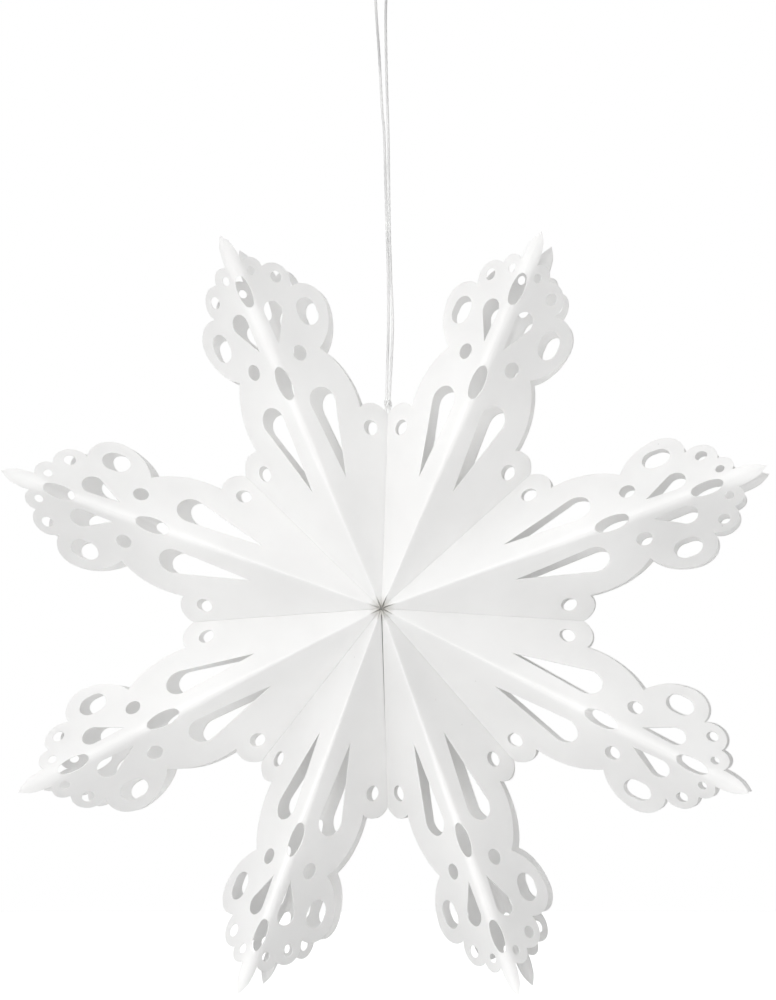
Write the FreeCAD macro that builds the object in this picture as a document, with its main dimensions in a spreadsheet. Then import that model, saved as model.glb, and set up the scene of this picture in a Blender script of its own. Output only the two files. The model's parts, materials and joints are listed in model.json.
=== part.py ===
import FreeCAD, Part

import math
import os

import Sketcher

# A hanging paper star. The star stands in the XZ plane with its front towards -Y, the origin is
# the middle of the hub where all the arms meet, and the cord rises along +Z. All sizes are in
# millimetres.
#
# Each of the eight arms is a flattened paper tube. A tube opens into four flat panels: two at the
# front that meet at a ridge, and two at the back that meet at a mirrored ridge. Neighbouring arms
# are glued face to face over a triangle that stands on the star's axis, the web. The front folds
# all start at one hub point in front of the mid-plane, and the back folds at its mirror image: a
# ridge runs outwards at nearly the same height, and a valley runs down the edge of the web to
# the mid-plane.

doc = FreeCAD.newDocument("paper_star")

# ---------------------------------------------------------------------------------------------
# Driving dimensions. Stations (_along) run along a ridge from the hub, offsets (_off) run square
# to the ridge inside a panel, towards the valley.
# ---------------------------------------------------------------------------------------------
DIMENSIONS = {
    # the sheet and its folds
    "paper_gauge": 0.4,
    "fold_angle": 29.8,
    "narrow_arm_angle": 40.0,
    "hub_height": 36.0,
    "valley_foot": 119.5,
    "hub_start": 3.0,
    "valley_clearance": 0.7,
    "ridge_clearance": 0.45,
    "ridge_relief_angle": 0.3,
    # the cut edge of a panel, from the tip to the valley
    "tip_along": 242.4,
    "spike_radius": 34.0,
    "spike_notch_along": 222.8,
    "spike_notch_off": 6.8,
    "small_lobe_radius": 7.8,
    "small_notch_along": 216.4,
    "small_notch_off": 19.4,
    "middle_lobe_radius": 11.3,
    "middle_notch_along": 199.0,
    "middle_notch_off": 32.5,
    "large_lobe_top_radius": 15.0,
    "large_lobe_crest_along": 181.3,
    "large_lobe_crest_off": 51.2,
    "large_lobe_base_radius": 31.0,
    "large_notch_along": 158.4,
    "large_notch_off": 34.3,
    "scallop_radius": 50.0,
    "scallop_notch_along": 116.6,
    "scallop_notch_off": 44.2,
    "valley_lobe_radius": 12.0,
    "valley_notch_reach": 123.0,
    # the half eyes that open across a ridge
    "inner_eye_start": 134.9,
    "inner_eye_end": 156.2,
    "inner_eye_shoulder_off": 3.7,
    "inner_eye_side_radius": 23.0,
    "outer_eye_start": 195.1,
    "outer_eye_end": 215.5,
    "outer_eye_shoulder_off": 3.8,
    "outer_eye_side_radius": 26.0,
    "eye_shoulder_inset": 1.8,
    "eye_end_radius": 4.2,
    # the openings inside a panel
    "long_drop_point_along": 79.8,
    "long_drop_point_off": 14.3,
    "long_drop_end_along": 127.7,
    "long_drop_end_off": 20.7,
    "long_drop_radius": 9.0,
    "short_drop_point_along": 168.9,
    "short_drop_point_off": 8.0,
    "short_drop_end_along": 188.6,
    "short_drop_end_off": 13.8,
    "short_drop_radius": 6.5,
    "waist_hole_along": 159.7,
    "waist_hole_off": 19.4,
    "waist_hole_radius": 4.8,
    "valley_hole_along": 102.9,
    "valley_hole_off": 45.5,
    "valley_hole_radius": 4.8,
    "middle_hole_along": 207.7,
    "middle_hole_off": 25.9,
    "middle_hole_radius": 3.7,
    "small_hole_along": 215.9,
    "small_hole_off": 10.7,
    "small_hole_radius": 2.8,
    "oval_along": 181.7,
    "oval_off": 36.7,
    "oval_half_straight": 1.8,
    "oval_radius": 6.9,
    # the glued webs and the closure at the bottom
    "web_gauge": 0.8,
    "web_start": 2.4,
    "web_end": 112.0,
    "web_clearance": 0.3,
    "closure_room": 0.4,
    "closure_gauge": 0.3,
    "closure_start": 15.0,
    "closure_end": 90.0,
    "closure_half_height": 6.0,
    # the hanging cord
    "cord_radius": 0.8,
    "cord_spacing": 2.4,
    "cord_slack_spacing": 4.2,
    "cord_eye_spacing": 6.8,
    "cord_shoulder_spacing": 10.4,
    "cord_foot_height": 126.6,
    "cord_slack_height": 169.0,
    "cord_close_height": 208.0,
    "cord_upper_height": 320.0,
    "cord_eye_height": 366.0,
    "cord_shoulder_height": 392.0,
    "cord_top_height": 408.0,
    "knot_height": 123.6,
    "knot_ring_radius": 1.3,
    "knot_rope_radius": 0.9,
    "cord_hole_radius": 1.2,
    "lower_loop_height": 102.0,
    "lower_loop_half_spacing": 1.35,
}

sheet = doc.addObject("Spreadsheet::Sheet", "dims")
for row, (alias, number) in enumerate(DIMENSIONS.items(), start=1):
    sheet.set("A%d" % row, alias)
    sheet.set("B%d" % row, str(number))
    sheet.setAlias("B%d" % row, alias)
doc.recompute()


def dim(alias):
    """The number in the sheet under this alias."""
    return float(sheet.get(alias))


UP = FreeCAD.Vector(0, 0, 1)
FRONT = FreeCAD.Vector(0, -1, 0)
TOUCHING = 1e-3
FOLD_ANGLE = math.radians(dim("fold_angle"))
VALLEY_SLOPE = math.atan2(dim("hub_height"), dim("valley_foot"))

# Clockwise from the top, seen from the front. The two arms beside the bottom seam are narrower,
# and the other six share what is left of the circle.
NARROW_ARM = dim("narrow_arm_angle")
WIDE_ARM = (360.0 - 2.0 * NARROW_ARM) / 6.0
ARM_ANGLES = [WIDE_ARM] * 3 + [NARROW_ARM] * 2 + [WIDE_ARM] * 3
SEAM_ANGLES = [sum(ARM_ANGLES[:count]) for count in range(9)]


# ---------------------------------------------------------------------------------------------
# Helpers
# ---------------------------------------------------------------------------------------------
def origin_plane(body, role):
    """One of a body's own origin planes."""
    return [plane for plane in body.Origin.OriginFeatures if plane.Role == role][0]


def flat_sketch(body, name, role):
    """An empty sketch on one of the body's origin planes."""
    sketch = body.newObject("Sketcher::SketchObject", name)
    sketch.AttachmentSupport = (origin_plane(body, role), [""])
    sketch.MapMode = "FlatFace"
    return sketch


def bind(sketch, kind, elements, expression, value):
    """Adds a dimensional constraint and binds it to an expression of sheet cells."""
    index = sketch.addConstraint(Sketcher.Constraint(kind, *elements, value))
    sketch.setExpression("Constraints[%d]" % index, expression)


def cell(alias):
    """The name of a sheet cell, as expressions use it."""
    return "dims." + alias


class Corner:
    """A point of the cut pattern: its place and the sheet expressions that give it."""

    def __init__(self, along, off, along_expression, off_expression):
        self.along = along
        self.off = off
        self.along_expression = along_expression
        self.off_expression = off_expression


def corner(name):
    """A corner whose place is given by NAME_along and NAME_off."""
    return Corner(dim(name + "_along"), dim(name + "_off"), cell(name + "_along"), cell(name + "_off"))


def ridge_corner(alias):
    """A corner on the panel's ridge edge, which falls back a little along its length."""
    along = dim(alias)
    relief = math.tan(math.radians(dim("ridge_relief_angle")))
    expression = "dims.ridge_clearance + %s * tan(dims.ridge_relief_angle * 1 deg)" % cell(alias)
    return Corner(along, dim("ridge_clearance") + along * relief, cell(alias), expression)


def valley_corner(alias):
    """A corner on the panel's valley edge, at this distance along the valley from the hub point."""
    reach = dim(alias)
    gap = dim("valley_clearance")
    along = reach * math.cos(FOLD_ANGLE) + gap * math.sin(FOLD_ANGLE)
    off = reach * math.sin(FOLD_ANGLE) - gap * math.cos(FOLD_ANGLE)
    names = (cell(alias), "dims.fold_angle * 1 deg", "dims.valley_clearance", "dims.fold_angle * 1 deg")
    return Corner(
        along, off, "%s * cos(%s) + %s * sin(%s)" % names, "%s * sin(%s) - %s * cos(%s)" % names
    )


def arc_through(first, last, radius):
    """The short arc from one corner to the next. The cut edge runs round the panel with the sheet
    on its left, so a positive radius bulges away from the sheet and a negative one into it."""
    run = last.along - first.along
    rise = last.off - first.off
    chord = math.hypot(run, rise)
    height = abs(radius) - math.sqrt(radius * radius - chord * chord / 4.0)
    height = math.copysign(height, radius)
    crest = FreeCAD.Vector(
        (first.along + last.along) / 2.0 + rise / chord * height,
        (first.off + last.off) / 2.0 - run / chord * height,
        0,
    )
    return Part.Arc(point(first), crest, point(last))


def point(place):
    return FreeCAD.Vector(place.along, place.off, 0)


def end_at(sketch, edge, place):
    """Which end of an edge, 1 or 2, lies at a corner."""
    gaps = [(sketch.getPoint(edge, end) - point(place)).Length for end in (1, 2)]
    return 1 + gaps.index(min(gaps))


def place_point(sketch, edge, end, place):
    """Holds a point of the sketch at a place given by the sheet."""
    bind(sketch, "DistanceX", (-1, 1, edge, end), place.along_expression, place.along)
    bind(sketch, "DistanceY", (-1, 1, edge, end), place.off_expression, place.off)


def add_loop(sketch, corners):
    """A closed loop of edges. Each item is a corner and the radius of the edge that leaves it: the
    name of a sheet cell, the same with a minus sign for an edge that bulges in, or None."""
    edges = []
    for (first, radius_name), (last, _) in zip(corners, corners[1:] + corners[:1]):
        if radius_name is None:
            curve = Part.LineSegment(point(first), point(last))
        else:
            inwards = radius_name.startswith("-")
            radius = dim(radius_name.lstrip("-"))
            curve = arc_through(first, last, -radius if inwards else radius)
        edges.append(sketch.addGeometry(curve))
    for number, (place, radius_name) in enumerate(corners):
        edge = edges[number]
        before = edges[number - 1]
        start = end_at(sketch, edge, place)
        finish = end_at(sketch, before, place)
        sketch.addConstraint(Sketcher.Constraint("Coincident", before, finish, edge, start))
        place_point(sketch, edge, start, place)
        if radius_name is not None:
            cell_name = radius_name.lstrip("-")
            bind(sketch, "Radius", (edge,), cell(cell_name), dim(cell_name))


def add_round_hole(sketch, name):
    """A round hole with its centre at a named corner."""
    centre = corner(name)
    circle = sketch.addGeometry(Part.Circle(point(centre), UP, dim(name + "_radius")))
    place_point(sketch, circle, 3, centre)
    bind(sketch, "Radius", (circle,), cell(name + "_radius"), dim(name + "_radius"))


def add_drop(sketch, name):
    """A teardrop: a point nearer the hub and a round end, joined by two straight flanks that run
    into the round end without a corner."""
    tip = corner(name + "_point")
    centre = corner(name + "_end")
    radius = dim(name + "_radius")
    run = centre.along - tip.along
    rise = centre.off - tip.off
    reach = math.hypot(run, rise)
    heading = math.atan2(rise, run)
    spread = math.acos(radius / reach)
    touches = []
    for turn in (spread, -spread):
        away = heading + math.pi + turn
        touches.append(point(centre) + FreeCAD.Vector(math.cos(away), math.sin(away), 0) * radius)
    crest = point(centre) + FreeCAD.Vector(math.cos(heading), math.sin(heading), 0) * radius
    first = sketch.addGeometry(Part.LineSegment(point(tip), touches[0]))
    last = sketch.addGeometry(Part.LineSegment(point(tip), touches[1]))
    end = sketch.addGeometry(Part.Arc(touches[0], crest, touches[1]))
    near = 1 if (sketch.getPoint(end, 1) - touches[0]).Length < radius * TOUCHING else 2
    sketch.addConstraint(Sketcher.Constraint("Coincident", first, 1, last, 1))
    sketch.addConstraint(Sketcher.Constraint("Tangent", first, 2, end, near))
    sketch.addConstraint(Sketcher.Constraint("Tangent", last, 2, end, 3 - near))
    place_point(sketch, first, 1, tip)
    place_point(sketch, end, 3, centre)
    bind(sketch, "Radius", (end,), cell(name + "_radius"), radius)


def add_oval(sketch):
    """The oval hole in the large lobe: two half circles and two short straights."""
    radius = dim("oval_radius")
    half = dim("oval_half_straight")
    middle = corner("oval")
    side = FreeCAD.Vector(0, radius, 0)
    ends = []
    for sign, operator in ((1, "+"), (-1, "-")):
        place = Corner(
            middle.along + sign * half,
            middle.off,
            "dims.oval_along %s dims.oval_half_straight" % operator,
            middle.off_expression,
        )
        crest = point(place) + FreeCAD.Vector(sign * radius, 0, 0)
        arc = sketch.addGeometry(Part.Arc(point(place) - side * sign, crest, point(place) + side * sign))
        ends.append((place, arc))
    (outer, outer_arc), (inner, inner_arc) = ends
    upper = sketch.addGeometry(Part.LineSegment(point(outer) + side, point(inner) + side))
    lower = sketch.addGeometry(Part.LineSegment(point(inner) - side, point(outer) - side))
    sketch.addConstraint(Sketcher.Constraint("Tangent", outer_arc, 2, upper, 1))
    sketch.addConstraint(Sketcher.Constraint("Tangent", upper, 2, inner_arc, 1))
    sketch.addConstraint(Sketcher.Constraint("Tangent", inner_arc, 2, lower, 1))
    sketch.addConstraint(Sketcher.Constraint("Tangent", lower, 2, outer_arc, 1))
    for place, arc in ends:
        place_point(sketch, arc, 3, place)
        bind(sketch, "Radius", (arc,), "dims.oval_radius", radius)


# ---------------------------------------------------------------------------------------------
# The sub-parts
# ---------------------------------------------------------------------------------------------
def half_eye(name):
    """Half of an eye that opens across the ridge: a wide arc between two tight ones."""
    start, end = name + "_start", name + "_end"
    inset = dim("eye_shoulder_inset")
    off = dim(name + "_shoulder_off")
    off_cell = cell(name + "_shoulder_off")
    rising = Corner(dim(start) + inset, off, cell(start) + " + dims.eye_shoulder_inset", off_cell)
    falling = Corner(dim(end) - inset, off, cell(end) + " - dims.eye_shoulder_inset", off_cell)
    return [
        (ridge_corner(start), "-eye_end_radius"),
        (rising, "-%s_side_radius" % name),
        (falling, "-eye_end_radius"),
        (ridge_corner(end), None),
    ]


def cut_pattern(sketch):
    """The outline of one panel and every opening in it."""
    add_loop(
        sketch,
        [
            (ridge_corner("tip_along"), "spike_radius"),
            (corner("spike_notch"), "small_lobe_radius"),
            (corner("small_notch"), "middle_lobe_radius"),
            (corner("middle_notch"), "large_lobe_top_radius"),
            (corner("large_lobe_crest"), "large_lobe_base_radius"),
            (corner("large_notch"), "scallop_radius"),
            (corner("scallop_notch"), "valley_lobe_radius"),
            (valley_corner("valley_notch_reach"), None),
            (valley_corner("hub_start"), None),
            (ridge_corner("hub_start"), None),
        ]
        + half_eye("inner_eye")
        + half_eye("outer_eye"),
    )
    add_drop(sketch, "long_drop")
    add_drop(sketch, "short_drop")
    add_oval(sketch)
    for name in ("waist_hole", "valley_hole", "middle_hole", "small_hole"):
        add_round_hole(sketch, name)


def seam_direction(angle):
    """The direction in the star's plane at this angle, clockwise from the top."""
    turn = math.radians(angle)
    return FreeCAD.Vector(math.sin(turn), 0, math.cos(turn))


def ridge_elevation(half_width):
    """How far a ridge rises out of the star's plane, given half of the arm's opening. It follows
    from the fixed angle between a panel's ridge and its valley."""
    level = math.cos(VALLEY_SLOPE) * math.cos(half_width)
    drop = math.sin(VALLEY_SLOPE)
    return math.acos(math.cos(FOLD_ANGLE) / math.hypot(level, drop)) - math.atan2(drop, level)


def panel_placement(arm, seam, outward):
    """Where a panel lies: its own X runs out along the ridge and its own Y towards the valley."""
    middle = (SEAM_ANGLES[arm] + SEAM_ANGLES[arm + 1]) / 2.0
    elevation = ridge_elevation(math.radians(ARM_ANGLES[arm] / 2.0))
    ridge = seam_direction(middle) * math.cos(elevation) + outward * math.sin(elevation)
    valley = seam_direction(SEAM_ANGLES[seam]) * math.cos(VALLEY_SLOPE) - outward * math.sin(VALLEY_SLOPE)
    across = (valley - ridge * math.cos(FOLD_ANGLE)) * (1.0 / math.sin(FOLD_ANGLE))
    return placement_of(ridge, across, outward * dim("hub_height"))


def placement_of(along, across, base):
    """The placement whose own X and Y run along these directions and whose origin is base."""
    face = along.cross(across)
    turn = FreeCAD.Matrix(
        along.x, across.x, face.x, 0, along.y, across.y, face.y, 0, along.z, across.z, face.z, 0
    )
    return FreeCAD.Placement(base, FreeCAD.Placement(turn).Rotation)


def make_panel(label, arm, seam, outward):
    """One flat facet of an arm, cut to the pattern and laid against its valley."""
    body = doc.addObject("PartDesign::Body", label)
    body.Label = label
    sketch = flat_sketch(body, label + "_pattern", "XY_Plane")
    cut_pattern(sketch)
    sheet_pad = body.newObject("PartDesign::Pad", label + "_sheet")
    sheet_pad.Profile = sketch
    sheet_pad.setExpression("Length", cell("paper_gauge"))
    sheet_pad.Midplane = True
    body.Placement = panel_placement(arm, seam, outward)
    return body


def make_web(label, angle, gauge, shift, has_cord_hole):
    """The glued triangle between two neighbouring arms, cut off short of the axis and of the foot
    of the valley. shift moves the sheet clockwise out of the seam's own plane."""
    body = doc.addObject("PartDesign::Body", label)
    body.Label = label
    sketch = flat_sketch(body, label + "_outline", "XY_Plane")
    corners = []
    for end in ("web_start", "web_end"):
        height = dim("hub_height") * (1.0 - dim(end) / dim("valley_foot")) - dim("web_clearance")
        expression = "(dims.hub_height * (1 - %s / dims.valley_foot) - dims.web_clearance)" % cell(end)
        upper = Corner(dim(end), height, cell(end), expression)
        lower = Corner(dim(end), -height, cell(end), "-1 * " + expression)
        corners += [upper, lower] if end == "web_start" else [lower, upper]
    add_loop(sketch, [(place, None) for place in corners])
    if has_cord_hole:
        place = Corner(dim("lower_loop_height"), 0.0, cell("lower_loop_height"), None)
        circle = sketch.addGeometry(Part.Circle(point(place), UP, dim("cord_hole_radius")))
        sketch.addConstraint(Sketcher.Constraint("PointOnObject", circle, 3, -1))
        bind(sketch, "DistanceX", (-1, 1, circle, 3), place.along_expression, place.along)
        bind(sketch, "Radius", (circle,), cell("cord_hole_radius"), dim("cord_hole_radius"))
    plate = body.newObject("PartDesign::Pad", label + "_sheet")
    plate.Profile = sketch
    plate.setExpression("Length", cell(gauge))
    plate.Midplane = True
    outwards = seam_direction(angle)
    clockwise = outwards.cross(FRONT)
    body.Placement = placement_of(outwards, FRONT, clockwise * shift)
    return body


def make_closure(label):
    """The adhesive strip between the first and the last arm's sheets in the bottom seam."""
    strip = doc.addObject("Part::Box", label)
    strip.Label = label
    strip.setExpression("Length", "dims.closure_end - dims.closure_start")
    strip.setExpression("Width", "2 * dims.closure_half_height")
    strip.setExpression("Height", cell("closure_gauge"))
    base = FreeCAD.Vector(dim("closure_gauge") / 2.0, dim("closure_half_height"), -dim("closure_start"))
    strip.Placement = placement_of(-UP, FRONT, base)
    return strip


def make_cord_loop(label):
    """The hanging loop above the knot: two strands that lie close, part a little where the cord is
    slack, and open into the eye that goes over a hook. Its spine is a free curve through the
    strands, so it is made as a swept shape."""
    stations = [
        ("cord_foot_height", "cord_spacing"),
        ("cord_slack_height", "cord_slack_spacing"),
        ("cord_close_height", "cord_spacing"),
        ("cord_upper_height", "cord_spacing"),
        ("cord_eye_height", "cord_eye_spacing"),
        ("cord_shoulder_height", "cord_shoulder_spacing"),
    ]
    right = [FreeCAD.Vector(dim(spacing) / 2.0, 0, dim(height)) for height, spacing in stations]
    left = [FreeCAD.Vector(-place.x, 0, place.z) for place in reversed(right)]
    spine = Part.BSplineCurve()
    spine.interpolate(right + [UP * dim("cord_top_height")] + left)
    start = spine.value(spine.FirstParameter)
    heading = spine.tangent(spine.FirstParameter)[0]
    ring = Part.Wire([Part.makeCircle(dim("cord_radius"), start, heading)])
    cord = doc.addObject("Part::Feature", label)
    cord.Label = label
    cord.Shape = Part.Wire([spine.toShape()]).makePipeShell([ring], True, True)
    cord.Placement = FreeCAD.Placement()
    return cord


def make_knot(label):
    """The knot over the top valley, and the lower loop that hangs from it and passes through the
    punched hole in the top web."""
    ring = doc.addObject("Part::Torus", label + "_ring")
    ring.setExpression("Radius1", cell("knot_ring_radius"))
    ring.setExpression("Radius2", cell("knot_rope_radius"))
    ring.Placement = FreeCAD.Placement(UP * dim("knot_height"), FreeCAD.Rotation())
    pieces = [ring]
    side_step = FreeCAD.Vector(dim("lower_loop_half_spacing"), 0, 0)
    foot = UP * dim("lower_loop_height")
    for side, sign in (("left", -1), ("right", 1)):
        strand = doc.addObject("Part::Cylinder", "%s_%s_strand" % (label, side))
        strand.setExpression("Radius", cell("cord_radius"))
        strand.setExpression("Height", "dims.knot_height - dims.lower_loop_height")
        bend = doc.addObject("Part::Sphere", "%s_%s_bend" % (label, side))
        bend.setExpression("Radius", cell("cord_radius"))
        for piece in (strand, bend):
            piece.Placement = FreeCAD.Placement(foot + side_step * sign, FreeCAD.Rotation())
            pieces.append(piece)
    bar = doc.addObject("Part::Cylinder", label + "_bar")
    bar.setExpression("Radius", cell("cord_radius"))
    bar.setExpression("Height", "2 * dims.lower_loop_half_spacing")
    bar.Placement = FreeCAD.Placement(foot - side_step, FreeCAD.Rotation(FreeCAD.Vector(0, 1, 0), 90))
    pieces.append(bar)
    knot = doc.addObject("Part::MultiFuse", label)
    knot.Label = label
    knot.Shapes = pieces
    knot.Placement = FreeCAD.Placement()
    return knot


def make_star():
    """Every sub-part, by its label."""
    parts = []
    for arm in range(8):
        for face, outward in (("front", FRONT), ("back", -FRONT)):
            for side, seam in (("left", arm), ("right", arm + 1)):
                label = "arm_%d_%s_%s_panel" % (arm + 1, face, side)
                parts.append(make_panel(label, arm, seam, outward))
    for seam in range(8):
        if seam != 4:
            label = "web_%d" % (seam + 1)
            parts.append(make_web(label, SEAM_ANGLES[seam], "web_gauge", 0.0, seam == 0))
    end_shift = (dim("closure_room") + dim("paper_gauge")) / 2.0
    parts.append(make_web("web_5_right", 180.0, "paper_gauge", -end_shift, False))
    parts.append(make_web("web_5_left", 180.0, "paper_gauge", end_shift, False))
    parts.append(make_closure("closure_strip"))
    parts.append(make_cord_loop("cord_loop"))
    parts.append(make_knot("cord_knot"))
    return parts


# ---------------------------------------------------------------------------------------------
# Build, check and write
# ---------------------------------------------------------------------------------------------
parts = make_star()
doc.recompute()

for item in doc.Objects:
    if "Invalid" in item.State or "Error" in item.State:
        raise RuntimeError("%s did not build: %s" % (item.Name, item.State))

for part in parts:
    if part.Shape.isNull() or not part.Shape.isValid() or len(part.Shape.Solids) != 1:
        raise RuntimeError("%s is not one valid solid" % part.Label)

panel_volume = parts[0].Shape.Volume
for part in parts:
    if part.Label.endswith("_panel") and abs(part.Shape.Volume - panel_volume) > TOUCHING * panel_volume:
        raise RuntimeError("%s is not cut like the other panels" % part.Label)

os.makedirs("parts", exist_ok=True)
for part in parts:
    part.Shape.exportStep(os.path.join("parts", part.Label + ".step"))
print("wrote %d parts, panel volume %.1f mm3" % (len(parts), panel_volume))
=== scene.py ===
import json
import math

import bpy
import numpy as np
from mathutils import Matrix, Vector, noise
from mathutils.geometry import delaunay_2d_cdt


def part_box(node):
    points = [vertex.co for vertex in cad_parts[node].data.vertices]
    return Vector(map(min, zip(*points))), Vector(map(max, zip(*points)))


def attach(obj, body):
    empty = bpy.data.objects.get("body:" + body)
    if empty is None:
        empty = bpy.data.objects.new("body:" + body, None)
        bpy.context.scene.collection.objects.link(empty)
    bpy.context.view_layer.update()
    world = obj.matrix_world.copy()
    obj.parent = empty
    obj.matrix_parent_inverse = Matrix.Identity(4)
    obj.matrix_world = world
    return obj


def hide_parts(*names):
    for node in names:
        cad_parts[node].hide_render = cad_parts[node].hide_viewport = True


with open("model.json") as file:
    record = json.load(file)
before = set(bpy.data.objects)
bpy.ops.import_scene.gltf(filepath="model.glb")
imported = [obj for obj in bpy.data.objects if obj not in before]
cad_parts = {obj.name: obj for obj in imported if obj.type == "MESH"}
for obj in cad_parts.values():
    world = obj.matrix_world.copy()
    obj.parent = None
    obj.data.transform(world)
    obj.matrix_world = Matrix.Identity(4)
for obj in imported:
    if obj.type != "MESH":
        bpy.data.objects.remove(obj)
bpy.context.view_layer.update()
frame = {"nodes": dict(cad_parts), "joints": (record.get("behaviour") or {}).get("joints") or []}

MM = 0.001
ARMS = range(1, 9)
JOINTS = {joint["child"]: joint for joint in frame["joints"]}


# ---------------------------------------------------------------------------------------------
# Driving dimensions, in metres
# ---------------------------------------------------------------------------------------------
SHEET = 0.42 * MM
# The frame's panels stop short of the ridge by this much, and the gap widens along the ridge.
RIDGE_GAP = 0.45 * MM
RIDGE_GAP_GROWTH = math.tan(math.radians(0.3))
# The frame's panels stop short of the valley by this much.
VALLEY_GAP = 0.7 * MM
CLOSE_WITHIN = 5 * MM
# Half of the hairline crack in each valley, clockwise from the top. The fifth is the bottom seam,
# where it is the crack at the foot and OPEN_CRACK is the one at the hub.
GLUED_CRACKS = [0.03 * MM, 0.04 * MM, 0.16 * MM, 0.2 * MM, 0.1 * MM, 0.2 * MM, 0.2 * MM, 0.06 * MM]
OPEN_CRACK = 0.62 * MM
BOTTOM_SEAM = 4
BOTTOM_SEAM_LENGTH = 105 * MM
# The frame's panels start this far from the hub point, and the sheets here start closer to it.
HUB_CUT = 3.0 * MM
HUB_OPENING = 0.9 * MM
# How far from a fold the sheet starts to turn over it: near the hub, on the outer arm and in the
# spike, where the whole sheet is one round shell.
RIDGE_ROUND = 1.3 * MM
OUTER_ROUND = 5.2 * MM
SPIKE_ROUND = 9.0 * MM
ROUND_START = 45 * MM
ROUND_FULL = 175 * MM
SPIKE_START = 205 * MM
SPIKE_FULL = 231 * MM
VALLEY_ROUND = 0.4 * MM
VALLEY_DROP = 0.12 * MM
# The mesh: rows of points beside each fold, as shares of the rounding, and the steps between points.
RIDGE_ROWS = (0.1, 0.25, 0.45, 0.7, 1.0)
VALLEY_ROWS = (0.25, 0.5, 0.75, 1.0)
BORDER_STEP = 1.6 * MM
GRID_STEP = 5 * MM
FINE_STEP = 2.5 * MM
GRID_MARGIN = 1.0 * MM
FINE_MARGIN = 0.12 * MM
# How uneven the sheet lies. The waves grow along the arm and fade out beside the folds, and the
# curl lifts or drops the free edge of the outer arm.
WAVE_HEIGHT = 0.7 * MM
WAVE_LENGTH = 55 * MM
WAVE_GROWTH_LENGTH = 240 * MM
WAVE_FADE = 12 * MM
CURL_HEIGHT = 1.3 * MM
CURL_WIDTH = 50 * MM
CURL_START = 110 * MM
CURL_FULL = 170 * MM


def ridge_gap(along):
    """How far short of the ridge the frame's panel stops."""
    return RIDGE_GAP + along * RIDGE_GAP_GROWTH


def ridge_round(along):
    """How far from the ridge the sheet starts to turn over it."""
    outer = (OUTER_ROUND - RIDGE_ROUND) * smoothstep(ROUND_START, ROUND_FULL, along)
    spike = (SPIKE_ROUND - OUTER_ROUND) * smoothstep(SPIKE_START, SPIKE_FULL, along)
    return RIDGE_ROUND + outer + spike


def smoothstep(low, high, value):
    """Rises smoothly from 0 at low to 1 at high."""
    share = min(1.0, max(0.0, (value - low) / (high - low)))
    return share * share * (3 - 2 * share)


# ---------------------------------------------------------------------------------------------
# Materials
# ---------------------------------------------------------------------------------------------
class Nodes:
    """A material's node tree, with short calls to add and join nodes."""

    def __init__(self, name):
        self.material = bpy.data.materials.new(name)
        self.material.use_nodes = True
        self.tree = self.material.node_tree
        self.tree.nodes.clear()
        self.output = self.add("ShaderNodeOutputMaterial")
        self.place = self.add("ShaderNodeTexCoord").outputs["Object"]

    def add(self, kind, **settings):
        node = self.tree.nodes.new(kind)
        for name, value in settings.items():
            setattr(node, name, value)
        return node

    def link(self, source, target):
        self.tree.links.new(source, target)

    def stretched(self, scale):
        """The object's own coordinates, in metres, times a scale for each axis."""
        node = self.add("ShaderNodeMapping")
        node.inputs["Scale"].default_value = scale
        self.link(self.place, node.inputs["Vector"])
        return node.outputs["Vector"]

    def noise(self, vector, scale, detail=4.0, roughness=0.55):
        node = self.add("ShaderNodeTexNoise")
        node.inputs["Scale"].default_value = scale
        node.inputs["Detail"].default_value = detail
        node.inputs["Roughness"].default_value = roughness
        self.link(vector, node.inputs["Vector"])
        return node.outputs["Fac"]

    def ramp(self, value, stops):
        """Maps a value to a colour by a list of (position, colour)."""
        node = self.add("ShaderNodeValToRGB")
        elements = node.color_ramp.elements
        while len(elements) < len(stops):
            elements.new(0.5)
        for element, (position, colour) in zip(elements, stops):
            element.position = position
            element.color = (*colour, 1.0)
        self.link(value, node.inputs["Fac"])
        return node.outputs["Color"]

    def mix_colour(self, factor, first, second, mode="MIX"):
        node = self.add("ShaderNodeMix", data_type="RGBA", blend_type=mode)
        for slot, value in ((0, factor), (6, first), (7, second)):
            if isinstance(value, (float, int)):
                node.inputs[slot].default_value = value
            elif isinstance(value, tuple):
                node.inputs[slot].default_value = (*value, 1.0)
            else:
                self.link(value, node.inputs[slot])
        return node.outputs[2]

    def map_range(self, value, low, high):
        node = self.add("ShaderNodeMapRange")
        node.inputs["To Min"].default_value = low
        node.inputs["To Max"].default_value = high
        self.link(value, node.inputs["Value"])
        return node.outputs["Result"]

    def bump(self, height, strength, distance, before=None):
        node = self.add("ShaderNodeBump")
        node.inputs["Strength"].default_value = strength
        node.inputs["Distance"].default_value = distance
        self.link(height, node.inputs["Height"])
        if before is not None:
            self.link(before, node.inputs["Normal"])
        return node.outputs["Normal"]


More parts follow.
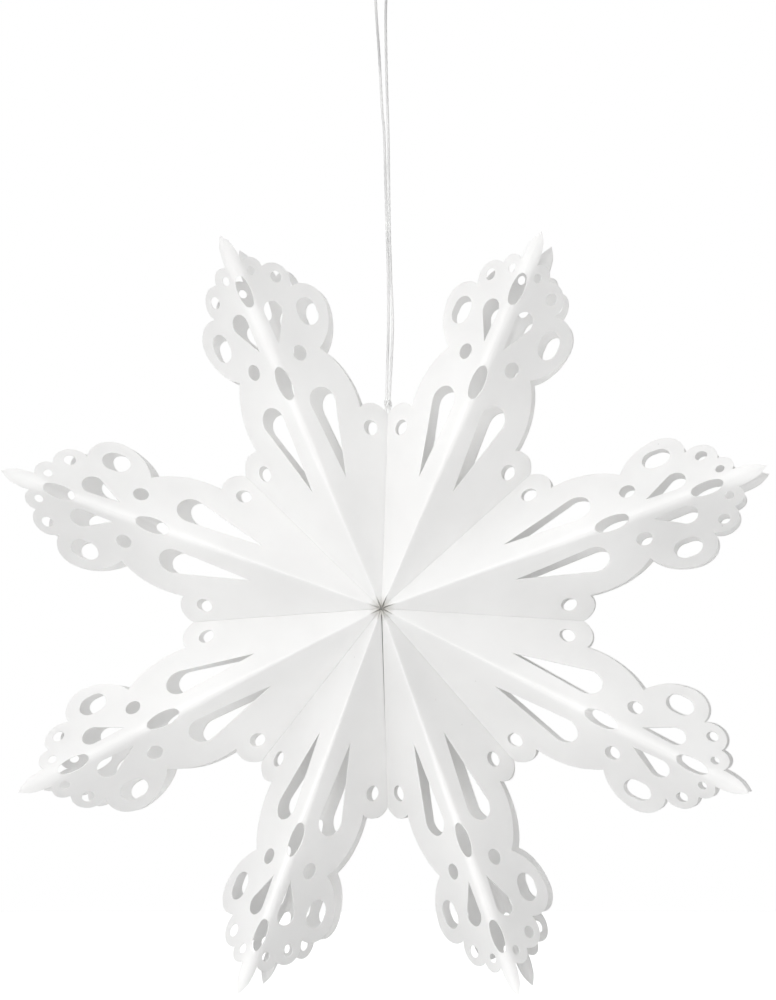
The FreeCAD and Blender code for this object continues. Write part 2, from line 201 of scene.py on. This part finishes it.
def paper_material():
    """Matte white card: soft cloudy tone, fine fibres, a few tiny flecks, painted shade where the
    folds meet at the hub, and a little light that comes through the sheet."""
    n = Nodes("paper")
    cloud = n.noise(n.place, 22.0, detail=3.0)
    fibre = n.noise(n.stretched((500.0, 500.0, 1900.0)), 1.0, detail=5.0, roughness=0.65)
    tooth = n.noise(n.place, 2600.0, detail=3.0, roughness=0.6)
    cloudy = n.ramp(cloud, [(0.3, (0.900, 0.898, 0.894)), (0.7, (0.935, 0.934, 0.930))])
    grained = n.mix_colour(n.map_range(fibre, 0.0, 0.10), cloudy, (0.82, 0.815, 0.80))
    speck = n.add("ShaderNodeTexVoronoi")
    speck.inputs["Scale"].default_value = 42.0
    n.link(n.place, speck.inputs["Vector"])
    speck_mask = n.ramp(speck.outputs["Distance"], [(0.012, (0.35, 0.35, 0.35)), (0.022, (0, 0, 0))])
    flecked = n.mix_colour(speck_mask, grained, (0.46, 0.45, 0.43))
    # Painted shade: within a few millimetres of the hub, where the folds meet, the sheet is mixed
    # towards a warm grey.
    from_hub = n.add("ShaderNodeVectorMath", operation="LENGTH")
    n.link(n.stretched((1.0, 0.0, 1.0)), from_hub.inputs[0])
    hub_painted_shade = n.ramp(from_hub.outputs["Value"], [(0.0022, (0.8, 0.8, 0.8)), (0.0056, (0, 0, 0))])
    coloured = n.mix_colour(hub_painted_shade, flecked, (0.56, 0.54, 0.49))
    relief = n.bump(tooth, 0.10, 0.00012)
    relief = n.bump(fibre, 0.12, 0.00025, relief)
    relief = n.bump(cloud, 0.10, 0.0012, relief)
    surface = n.add("ShaderNodeBsdfPrincipled")
    n.link(coloured, surface.inputs["Base Color"])
    n.link(n.map_range(fibre, 0.78, 0.92), surface.inputs["Roughness"])
    surface.inputs["Specular IOR Level"].default_value = 0.22
    n.link(relief, surface.inputs["Normal"])
    through = n.add("ShaderNodeBsdfTranslucent")
    n.link(coloured, through.inputs["Color"])
    n.link(relief, through.inputs["Normal"])
    both = n.add("ShaderNodeMixShader")
    both.inputs[0].default_value = 0.42
    n.link(surface.outputs[0], both.inputs[1])
    n.link(through.outputs[0], both.inputs[2])
    n.link(both.outputs[0], n.output.inputs["Surface"])
    return n.material


def cord_material():
    """White satin thread: fine filaments along the ply, a soft sheen, and stretches of painted shade
    along it.
    """
    n = Nodes("cord")
    filament = n.noise(n.stretched((5200.0, 5200.0, 700.0)), 1.0, detail=3.0)
    tone = n.noise(n.stretched((160.0, 160.0, 22.0)), 1.0, detail=1.0)
    base = n.ramp(filament, [(0.35, (0.93, 0.93, 0.925)), (0.62, (0.97, 0.97, 0.965))])
    # Painted shade: slow stretches along the thread are mixed towards grey to stand in for the
    # shading of the strand.
    painted_shade_along_cord = n.ramp(tone, [(0.45, (0, 0, 0)), (0.7, (1, 1, 1))])
    coloured = n.mix_colour(painted_shade_along_cord, base, (0.80, 0.80, 0.80))
    surface = n.add("ShaderNodeBsdfPrincipled")
    n.link(coloured, surface.inputs["Base Color"])
    n.link(n.map_range(filament, 0.34, 0.58), surface.inputs["Roughness"])
    surface.inputs["Sheen Weight"].default_value = 0.3
    surface.inputs["Sheen Roughness"].default_value = 0.4
    n.link(n.bump(filament, 0.5, 0.0001), surface.inputs["Normal"])
    through = n.add("ShaderNodeBsdfTranslucent")
    n.link(coloured, through.inputs["Color"])
    both = n.add("ShaderNodeMixShader")
    both.inputs[0].default_value = 0.5
    n.link(surface.outputs[0], both.inputs[1])
    n.link(through.outputs[0], both.inputs[2])
    n.link(both.outputs[0], n.output.inputs["Surface"])
    return n.material


def seam_painted_shade_material():
    """Near-black painted shade for the deep bottom seam, on a strip with a slightly grainy face."""
    n = Nodes("closure")
    grain = n.noise(n.place, 1400.0, detail=4.0)
    tone = n.noise(n.place, 90.0, detail=2.0)
    # Painted shade: the near-black base stands in for the shade deep in the open seam.
    base = n.ramp(grain, [(0.3, (0.016, 0.016, 0.017)), (0.7, (0.035, 0.034, 0.033))])
    coloured = n.mix_colour(n.map_range(tone, 0.0, 0.4), base, (0.05, 0.048, 0.046))
    surface = n.add("ShaderNodeBsdfPrincipled")
    n.link(coloured, surface.inputs["Base Color"])
    n.link(n.map_range(grain, 0.6, 0.9), surface.inputs["Roughness"])
    n.link(n.bump(grain, 0.4, 0.0002), surface.inputs["Normal"])
    n.link(surface.outputs[0], n.output.inputs["Surface"])
    return n.material


def studio_material():
    """The plain pale floor."""
    n = Nodes("studio")
    tone = n.noise(n.place, 1.5, detail=2.0)
    pale = n.ramp(tone, [(0.3, (0.93, 0.93, 0.93)), (0.7, (0.95, 0.95, 0.95))])
    surface = n.add("ShaderNodeBsdfPrincipled")
    surface.inputs["Roughness"].default_value = 0.9
    surface.inputs["Emission Strength"].default_value = 0.75
    n.link(pale, surface.inputs["Base Color"])
    n.link(pale, surface.inputs["Emission Color"])
    n.link(surface.outputs[0], n.output.inputs["Surface"])
    return n.material


PAPER = paper_material()
CORD = cord_material()
SEAM_PAINTED_SHADE = seam_painted_shade_material()
STUDIO = studio_material()


# ---------------------------------------------------------------------------------------------
# Meshes
# ---------------------------------------------------------------------------------------------
def make_piece(name, points, faces, material, crease=50.0):
    """A smooth-shaded mesh object whose edges stay sharp above the crease angle, in degrees."""
    mesh = bpy.data.meshes.new(name)
    mesh.from_pydata([tuple(point) for point in points], [], faces)
    mesh.polygons.foreach_set("use_smooth", [True] * len(mesh.polygons))
    mesh.set_sharp_from_angle(angle=math.radians(crease))
    mesh.materials.append(material)
    mesh.update()
    piece = bpy.data.objects.new(name, mesh)
    bpy.context.scene.collection.objects.link(piece)
    return piece


def add_piece(piece, body, nodes):
    """Puts a piece on its body and hides the frame parts that it stands for."""
    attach(piece, body)
    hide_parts(*nodes)


def sheet_faces(triangles, borders, count):
    """The faces of a thin sheet: the outer side uses points 0..count, the inner side the next."""
    faces = [tuple(triangle) for triangle in triangles]
    faces += [tuple(index + count for index in reversed(triangle)) for triangle in triangles]
    faces += [(b, a, a + count, b + count) for a, b in borders]
    return faces


def mesh_data(node):
    """A node's vertices and triangles as arrays."""
    mesh = frame["nodes"][node].data
    places = np.empty(len(mesh.vertices) * 3, np.float32)
    mesh.vertices.foreach_get("co", places)
    mesh.calc_loop_triangles()
    corners = np.empty(len(mesh.loop_triangles) * 3, np.int32)
    mesh.loop_triangles.foreach_get("vertices", corners)
    return places.reshape(-1, 3).astype(float), corners.reshape(-1, 3)


# ---------------------------------------------------------------------------------------------
# Where each panel lies
# ---------------------------------------------------------------------------------------------
class Lay:
    """A panel's own frame: the hub point it starts from, its ridge, the way across it to the
    valley and its outward face."""

    def __init__(self, arm, side_of_star, hand):
        self.body = panel_name(arm, side_of_star, hand)
        joint = JOINTS[self.body]
        self.hub = Vector(joint["pos_m"])
        outward = Vector((0, -1 if side_of_star == "front" else 1, 0))
        faces = {}
        for name in ("left", "right"):
            places = mesh_data(panel_name(arm, side_of_star, name))[0]
            normal = Vector(np.linalg.svd(places - places.mean(0), full_matrices=False)[2][2])
            faces[name] = normal if normal.dot(outward) > 0 else -normal
            if name == hand:
                middle = Vector(places.mean(0)) - self.hub
        ridge = faces["left"].cross(faces["right"]).normalized()
        self.ridge = ridge if ridge.dot(middle) > 0 else -ridge
        self.face = faces[hand]
        across = self.face.cross(self.ridge)
        self.across = across if across.dot(middle) > 0 else -across
        self.mirrored = self.ridge.cross(self.across).dot(self.face) < 0
        valley = Vector(joint["axis"])
        self.fold = math.acos(abs(valley.dot(self.ridge)))
        opposite = faces["right" if hand == "left" else "left"]
        self.crest = (self.face + opposite).normalized()
        self.side = (self.face - opposite).normalized()
        self.turn = math.acos(self.face.dot(self.crest))

    def place(self, along, off, height):
        return self.hub + self.ridge * along + self.across * off + self.face * height


def panel_name(arm, side_of_star, hand):
    return "arm_%d_%s_%s_panel" % (arm, side_of_star, hand)


# ---------------------------------------------------------------------------------------------
# The cut pattern, read from one panel and shared by all
# ---------------------------------------------------------------------------------------------
def read_outline(lay):
    """The panel's outline and openings as points and edges in its own plane."""
    places, triangles = mesh_data(lay.body)
    local = places - np.array(lay.hub)
    axes = np.array([lay.ridge, lay.across, lay.face])
    flat = local @ axes.T
    a, b, c = (flat[triangles[:, column]] for column in range(3))
    normals = np.cross(b - a, c - a)
    normals /= np.linalg.norm(normals, axis=1)[:, None] + 1e-12
    top = (np.abs(normals[:, 2]) > 0.99) & (a[:, 2] > 0)
    welded, points, edges = {}, [], {}

    def index_of(corner):
        key = (round(corner[0] / MM * 1000), round(corner[1] / MM * 1000))
        if key not in welded:
            welded[key] = len(points)
            points.append((corner[0], corner[1]))
        return welded[key]

    for triangle in triangles[top]:
        loop = [index_of(flat[vertex]) for vertex in triangle]
        for first, last in zip(loop, loop[1:] + loop[:1]):
            key = (min(first, last), max(first, last))
            edges[key] = edges.get(key, 0) + 1
    border = [edge for edge, uses in edges.items() if uses == 1 and edge[0] != edge[1]]
    used = sorted({index for edge in border for index in edge})
    renumber = {index: number for number, index in enumerate(used)}
    return [points[index] for index in used], [(renumber[a], renumber[b]) for a, b in border]


def split_long(points, edges):
    """The same outline with its long edges divided, so that it can follow a curved sheet."""
    points, short = list(points), []
    for first, last in edges:
        start, end = Vector(points[first]), Vector(points[last])
        pieces = max(1, round((end - start).length / BORDER_STEP))
        before = first
        for number in range(1, pieces):
            points.append(tuple(start.lerp(end, number / pieces)))
            short.append((before, len(points) - 1))
            before = len(points) - 1
        short.append((before, last))
    return points, short


def inside(points, edges, spots):
    """The spots that lie inside the outline, each with its distance from the nearest edge."""
    starts = np.array([points[a] for a, _ in edges])
    ends = np.array([points[b] for _, b in edges])
    run = ends - starts
    kept = []
    for spot in spots:
        offset = np.array(spot) - starts
        share = np.clip((offset * run).sum(1) / (run * run).sum(1), 0, 1)
        gap = np.linalg.norm(offset - run * share[:, None], axis=1).min()
        crosses = (starts[:, 1] > spot[1]) != (ends[:, 1] > spot[1])
        rise = np.where(crosses, run[:, 1], 1.0)
        reach = starts[:, 0] + (spot[1] - starts[:, 1]) / rise * run[:, 0]
        if (crosses & (reach > spot[0])).sum() % 2 == 1:
            kept.append((spot, gap))
    return kept


def grid_spots(length, width):
    """A staggered grid over the whole pattern."""
    spots = []
    for row in range(int(width / GRID_STEP) + 1):
        for column in range(int(length / GRID_STEP) + 1):
            spots.append(((column + 0.5 * (row % 2)) * GRID_STEP, row * GRID_STEP))
    return spots


def fold_spots(length, fold):
    """Close rows of points beside the ridge and the valley, where the sheet turns."""
    spots = []
    cosine, sine = math.cos(fold), math.sin(fold)
    for step in range(int(length / FINE_STEP)):
        along = step * FINE_STEP
        for share in RIDGE_ROWS:
            spots.append((along, ridge_gap(along) + ridge_round(along) * share))
        for share in VALLEY_ROWS:
            gap = VALLEY_GAP + VALLEY_ROUND * share
            spots.append((along * cosine + gap * sine, along * sine - gap * cosine))
    return spots


def facing_up(face, places):
    """The triangle's corners in the order that turns it face up."""
    a, b, c = (places[index] for index in face)
    if (b - a).cross(c - a) < 0:
        return tuple(reversed(face))
    return tuple(face)


def border_edges(triangles):
    """The edges that only one triangle uses, in that triangle's direction."""
    uses = {}
    for triangle in triangles:
        for edge in zip(triangle, triangle[1:] + triangle[:1]):
            uses[edge] = uses.get(edge, 0) + 1
    return [edge for edge in uses if (edge[1], edge[0]) not in uses]


def read_pattern(lay):
    """The pattern as points, triangles and border edges, dense enough to curve."""
    outline, edges = split_long(*read_outline(lay))
    length = max(point[0] for point in outline)
    width = max(point[1] for point in outline)
    coarse = inside(outline, edges, grid_spots(length, width))
    fine = inside(outline, edges, fold_spots(length, lay.fold))
    kept = [spot for spot, gap in coarse if gap > GRID_MARGIN]
    kept += [spot for spot, gap in fine if gap > FINE_MARGIN]
    flat = [Vector(point) for point in outline + kept]
    places, _, faces = delaunay_2d_cdt(flat, edges, [], 1, 1e-7)[:3]
    by_centre = {}
    for face in faces:
        triangle = facing_up(face, places)
        a, b, c = (places[index] for index in triangle)
        by_centre[tuple((a + b + c) / 3)] = triangle
    triangles = [by_centre[centre] for centre, _ in inside(outline, edges, list(by_centre))]
    return [tuple(place) for place in places], triangles, border_edges(triangles)


def settle(along, off, fold, crack):
    """Moves a point of the pattern so that the ridge closes and the valley closes to a crack."""
    gap = ridge_gap(along)
    if off < CLOSE_WITHIN:
        off = (off - gap) * CLOSE_WITHIN / (CLOSE_WITHIN - gap)
    clear = along * math.sin(fold) - off * math.cos(fold)
    if clear < CLOSE_WITHIN:
        wanted = (clear - VALLEY_GAP) * (CLOSE_WITHIN - crack) / (CLOSE_WITHIN - VALLEY_GAP) + crack
        along += (wanted - clear) * math.sin(fold)
        off -= (wanted - clear) * math.cos(fold)
        clear = wanted
    return along, max(0.0, off), clear


def sheet_point(lay, along, off, clear, seed, curl):
    """A point in the middle of the sheet, and the sheet's normal there. Over the ridge the sheet
    turns on a parabola that meets its neighbour without a crease."""
    width = ridge_round(along)
    share = min(1.0, off / width)
    crest_drop = math.sin(lay.turn) * width / 2.0 * (1.0 - share) ** 2
    normal = (lay.crest + lay.side * math.tan(lay.turn) * share).normalized()
    height = -VALLEY_DROP * max(0.0, 1.0 - clear / VALLEY_ROUND) ** 2
    free = smoothstep(0.0, WAVE_FADE, off) * smoothstep(0.0, WAVE_FADE, clear)
    wave = noise.noise(Vector((along / WAVE_LENGTH, off / WAVE_LENGTH * 1.4, seed * 7.3)))
    height += WAVE_HEIGHT * (0.5 + along / WAVE_GROWTH_LENGTH) * wave * free
    height += curl * (off / CURL_WIDTH) ** 2 * smoothstep(CURL_START, CURL_FULL, along)
    return lay.place(along, off, height) - lay.crest * crest_drop, normal


def crack_of(arm, hand, along):
    """Half of the crack between a panel and its neighbour: a hairline where the arms are glued,
    and a wedge that narrows outwards in the bottom seam, where they only meet."""
    seam = arm % 8 if hand == "right" else arm - 1
    closed = GLUED_CRACKS[seam]
    if seam != BOTTOM_SEAM:
        return closed
    return closed + (OPEN_CRACK - closed) * (1.0 - smoothstep(0.0, BOTTOM_SEAM_LENGTH, along))


def make_panel(arm, side_of_star, hand, pattern, seed):
    lay = Lay(arm, side_of_star, hand)
    points, triangles, borders = pattern
    curl = CURL_HEIGHT * noise.noise(Vector((seed * 3.7, 1.9, 0.4)))
    outer, inner = [], []
    opening = HUB_OPENING * (1.0 + 0.35 * noise.noise(Vector((seed * 5.1, 0.3, 2.2))))
    for along, off in points:
        if along < 2 * HUB_CUT:
            along = opening + (along - HUB_CUT) * (2 * HUB_CUT - opening) / HUB_CUT
        along, off, clear = settle(along, off, lay.fold, crack_of(arm, hand, along))
        middle, normal = sheet_point(lay, along, off, clear, seed, curl)
        outer.append(middle + normal * SHEET / 2)
        inner.append(middle - normal * SHEET / 2)
    faces = sheet_faces(triangles, borders, len(points))
    if lay.mirrored:
        faces = [tuple(reversed(face)) for face in faces]
    name = "paper_arm_%d_%s_%s" % (arm, side_of_star, hand)
    piece = make_piece(name, outer + inner, faces, PAPER)
    add_piece(piece, lay.body, [lay.body])


def make_panels():
    pattern = read_pattern(Lay(1, "front", "left"))
    seed = 0
    for arm in ARMS:
        for side_of_star in ("front", "back"):
            for hand in ("left", "right"):
                seed += 1
                make_panel(arm, side_of_star, hand, pattern, seed)


# ---------------------------------------------------------------------------------------------
# Webs, and the closure strip painted dark as the seam's shade
# ---------------------------------------------------------------------------------------------
def dress_webs():
    for name, node in frame["nodes"].items():
        if name.startswith("web_"):
            node.data.materials.clear()
            node.data.materials.append(PAPER)


def make_closure():
    """The strip in the bottom seam, thickest near the hub, that fills the seam just under the folds
    in front and behind. Its near-black colour is painted shade for the deep gap."""
    low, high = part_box("web_5_right")
    foot_height = 1.6 * MM
    below_folds = 0.9 * MM
    foot_half, hub_half = 0.14 * MM, 0.50 * MM
    rounded = 0.96
    rows = 24
    points, faces = [], []
    for row in range(rows + 1):
        share = row / rows
        level = high.z - 1 * MM + (low.z + 4 * MM - high.z) * share
        height = high.y + (foot_height - high.y) * share - below_folds
        half = foot_half + (hub_half - foot_half) * (1 - share) ** 1.2
        for y in (-height, -height * rounded, height * rounded, height):
            edge = 0.7 if abs(y) == height else 1.0
            points.append(Vector((-half * edge, y, level)))
            points.append(Vector((half * edge, y, level)))
    ring = (0, 2, 4, 6, 7, 5, 3, 1)
    for row in range(rows):
        base = row * 8
        for first, last in zip(ring, ring[1:] + ring[:1]):
            faces.append((base + first, base + last, base + 8 + last, base + 8 + first))
    faces.append(tuple(reversed(ring)))
    faces.append(tuple(rows * 8 + index for index in ring))
    piece = make_piece("closure_strip_painted_shade", points, faces, SEAM_PAINTED_SHADE)
    add_piece(piece, "right_end", ["closure_strip"])


# ---------------------------------------------------------------------------------------------
# The cord
# ---------------------------------------------------------------------------------------------
PLY_RADIUS = 0.68 * MM
PLY_OFFSET = 0.13 * MM
PLY_PITCH = 9.0 * MM
PLY_SIDES = 8
# The whole strand, as the frame has it.
STRAND_RADIUS = 0.8 * MM
STRAND_STEP = 0.6 * MM


def curve_through(stations, step):
    """Evenly spaced points along a smooth curve through the stations."""
    padded = [stations[0] * 2 - stations[1]] + stations + [stations[-1] * 2 - stations[-2]]
    dense = []
    for index in range(1, len(padded) - 2):
        p0, p1, p2, p3 = padded[index - 1 : index + 3]
        slope = p2 - p0
        bend = p0 * 2 - p1 * 5 + p2 * 4 - p3
        twist = p1 * 3 - p0 - p2 * 3 + p3
        pieces = max(4, int((p2 - p1).length / (step / 3)))
        for number in range(pieces):
            t = number / pieces
            dense.append(0.5 * (p1 * 2 + slope * t + bend * t * t + twist * t * t * t))
    dense.append(stations[-1])
    even, travelled = [dense[0]], 0.0
    for before, after in zip(dense, dense[1:]):
        travelled += (after - before).length
        if travelled >= step:
            even.append(after)
            travelled = 0.0
    return even


def ply(path, phase, points, faces):
    """Adds one round ply that winds round the path."""
    start = len(points)
    normal = Vector((0, 1, 0.01)).normalized()
    travelled = 0.0
    for index, place in enumerate(path):
        ahead = path[min(index + 1, len(path) - 1)] - path[max(index - 1, 0)]
        ahead.normalize()
        normal = (normal - ahead * normal.dot(ahead)).normalized()
        side = ahead.cross(normal)
        if index:
            travelled += (place - path[index - 1]).length
        angle = phase + travelled / PLY_PITCH * math.tau
        centre = place + (normal * math.cos(angle) + side * math.sin(angle)) * PLY_OFFSET
        for corner in range(PLY_SIDES):
            turn = math.tau * corner / PLY_SIDES
            points.append(centre + (normal * math.cos(turn) + side * math.sin(turn)) * PLY_RADIUS)
    rings = len(path)
    for ring in range(rings - 1):
        for corner in range(PLY_SIDES):
            a = start + ring * PLY_SIDES + corner
            b = start + ring * PLY_SIDES + (corner + 1) % PLY_SIDES
            faces.append((a, b, b + PLY_SIDES, a + PLY_SIDES))
    faces.append(tuple(start + corner for corner in reversed(range(PLY_SIDES))))
    faces.append(tuple(start + (rings - 1) * PLY_SIDES + corner for corner in range(PLY_SIDES)))


def twisted(path, points, faces):
    """Two plies laid round each other along the path."""
    for phase in (0.0, math.pi):
        ply(path, phase, points, faces)


def make_cord():
    """The hanging loop: it leaves the knot as two strands, parts a little, closes and leans, and
    opens into the eye at the top. Each station is the sideways place in mm and the share of the
    height, up the right strand and down the left one."""
    low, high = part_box("cord_loop")
    foot, crown = low.z - 0.5 * MM, high.z - PLY_RADIUS - PLY_OFFSET
    stations = [
        (0.9, 0.000),
        (2.9, 0.150),
        (1.9, 0.26),
        (0.9, 0.39),
        (0.3, 0.56),
        (-0.8, 0.70),
        (-1.2, 0.85),
        (1.6, 0.945),
        (-1.8, 1.000),
        (-7.6, 0.930),
        (-7.3, 0.85),
        (-5.2, 0.74),
        (-3.4, 0.62),
        (-2.2, 0.57),
        (-0.8, 0.39),
        (0.2, 0.26),
        (0.3, 0.150),
        (-0.9, 0.000),
    ]
    places = [Vector((x * MM, 0, foot + (crown - foot) * share)) for x, share in stations]
    places[0].y = places[-1].y = 0.0
    points, faces = [], []
    twisted(curve_through(places, STRAND_STEP), points, faces)
    piece = make_piece("cord_loop_twisted", points, faces, CORD, crease=80.0)
    add_piece(piece, "cord", ["cord_loop"])


def make_knot():
    """The overhand knot over the top valley and the lower loop through the punched hole."""
    low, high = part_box("cord_knot")
    middle = Vector((0, 0, high.z - 0.4 * MM))
    steps = 96
    points, faces, trefoil = [], [], []
    for step in range(steps + 1):
        t = math.tau * step / steps
        x = (math.sin(t) + 2 * math.sin(2 * t)) * 0.62 * MM
        y = (math.cos(t) - 2 * math.cos(2 * t)) * 0.50 * MM
        z = -math.sin(3 * t) * 1.5 * MM
        trefoil.append(middle + Vector((x, y, z)))
    twisted(trefoil, points, faces)
    half = (high.x - low.x) / 2 - STRAND_RADIUS
    bottom = low.z + STRAND_RADIUS
    loop = [Vector((0.3 * MM, 0, middle.z)), Vector((half, 0, middle.z - 6 * MM))]
    loop += [Vector((half, 0, bottom + 4 * MM)), Vector((half * 0.85, 0, bottom + 0.6 * MM))]
    loop += [Vector((0, 0, bottom))]
    loop += [Vector((-place.x, place.y, place.z)) for place in reversed(loop[:-1])]
    twisted(curve_through(loop, STRAND_STEP), points, faces)
    piece = make_piece("cord_knot_tied", points, faces, CORD, crease=80.0)
    add_piece(piece, "top_seam", ["cord_knot"])


# ---------------------------------------------------------------------------------------------
# Studio
# ---------------------------------------------------------------------------------------------
def make_floor():
    """A wide, pale floor well below the hanging star. Only the camera sees it, so that it neither
    blocks the soft light that comes from below nor lights the star."""
    radius, drop, sides = 14.0, 0.75, 96
    points = [Vector((0, 0, -drop))]
    for corner in range(sides):
        turn = math.tau * corner / sides
        points.append(Vector((radius * math.cos(turn), radius * math.sin(turn), -drop)))
    faces = [(0, 1 + corner, 1 + (corner + 1) % sides) for corner in range(sides)]
    floor = make_piece("studio_floor", points, faces, STUDIO)
    floor.visible_shadow = False
    floor.visible_diffuse = False
    floor.visible_glossy = False
    floor.visible_transmission = False


def aim(lamp, direction):
    """Turns a lamp so that it shines from this direction."""
    lamp.rotation_euler = Vector(direction).to_track_quat("Z", "Y").to_euler()
    bpy.context.scene.collection.objects.link(lamp)


def soft_light(name, direction, strength):
    """A wide, even light that falls on the star from this direction."""
    light = bpy.data.lights.new(name, "SUN")
    light.angle = math.radians(70)
    light.energy = strength
    aim(bpy.data.objects.new(name, light), direction)


def soft_box(name, place, size, power):
    """A round lamp close enough to the star to light the hub more than the tips."""
    light = bpy.data.lights.new(name, "AREA")
    light.shape = "DISK"
    light.size = size
    light.energy = power
    lamp = bpy.data.objects.new(name, light)
    lamp.location = place
    lamp.visible_camera = False
    aim(lamp, place)


def make_lights():
    """A soft box in front and one behind, broad light from the upper left, less from the other
    sides, and a white surround that gives little light of its own."""
    soft_box("front_box", (0, -0.75, 0), 0.5, 5.3)
    soft_box("back_box", (0, 0.75, 0), 0.5, 3.4)
    soft_light("upper_left", (-0.6, -0.5, 0.65), 1.2)
    soft_light("upper_right", (0.6, -0.5, 0.65), 0.3)
    soft_light("lower_left", (-0.6, -0.5, -0.65), 0.4)
    soft_light("behind", (0, 1, 0), 0.9)
    world = bpy.data.worlds.new("surround")
    world.use_nodes = True
    tree = world.node_tree
    back = tree.nodes["Background"]
    back.inputs["Color"].default_value = (1, 1, 1, 1)
    seen = tree.nodes.new("ShaderNodeLightPath").outputs["Is Camera Ray"]
    strength = tree.nodes.new("ShaderNodeMapRange")
    strength.inputs["To Min"].default_value = 0.2
    strength.inputs["To Max"].default_value = 1.0
    tree.links.new(seen, strength.inputs["Value"])
    tree.links.new(strength.outputs["Result"], back.inputs["Strength"])
    bpy.context.scene.world = world


def make_camera():
    """The camera stands a little to the right of the star's axis and slightly below it."""
    azimuth, elevation = math.radians(6.0), math.radians(-3.0)
    distance = 2.652
    shift_right, shift_up = -0.0001, -0.0661
    picture_width, sensor = 0.4656, 36.0
    back = Vector(
        (
            math.sin(azimuth) * math.cos(elevation),
            -math.cos(azimuth) * math.cos(elevation),
            math.sin(elevation),
        )
    )
    right = Vector((math.cos(azimuth), math.sin(azimuth), 0))
    up = back.cross(right)
    data = bpy.data.cameras.new("camera")
    data.sensor_fit = "HORIZONTAL"
    data.sensor_width = sensor
    data.lens = sensor * distance / picture_width
    data.clip_start, data.clip_end = 0.05, 60
    camera = bpy.data.objects.new("camera", data)
    camera.location = back * distance - right * shift_right - up * shift_up
    camera.rotation_mode = "QUATERNION"
    camera.rotation_quaternion = (-back).to_track_quat("-Z", "Y")
    bpy.context.scene.collection.objects.link(camera)
    bpy.context.scene.camera = camera


make_panels()
dress_webs()
make_closure()
make_cord()
make_knot()
make_floor()
make_lights()
make_camera()
bpy.context.scene.view_settings.view_transform = "Standard"
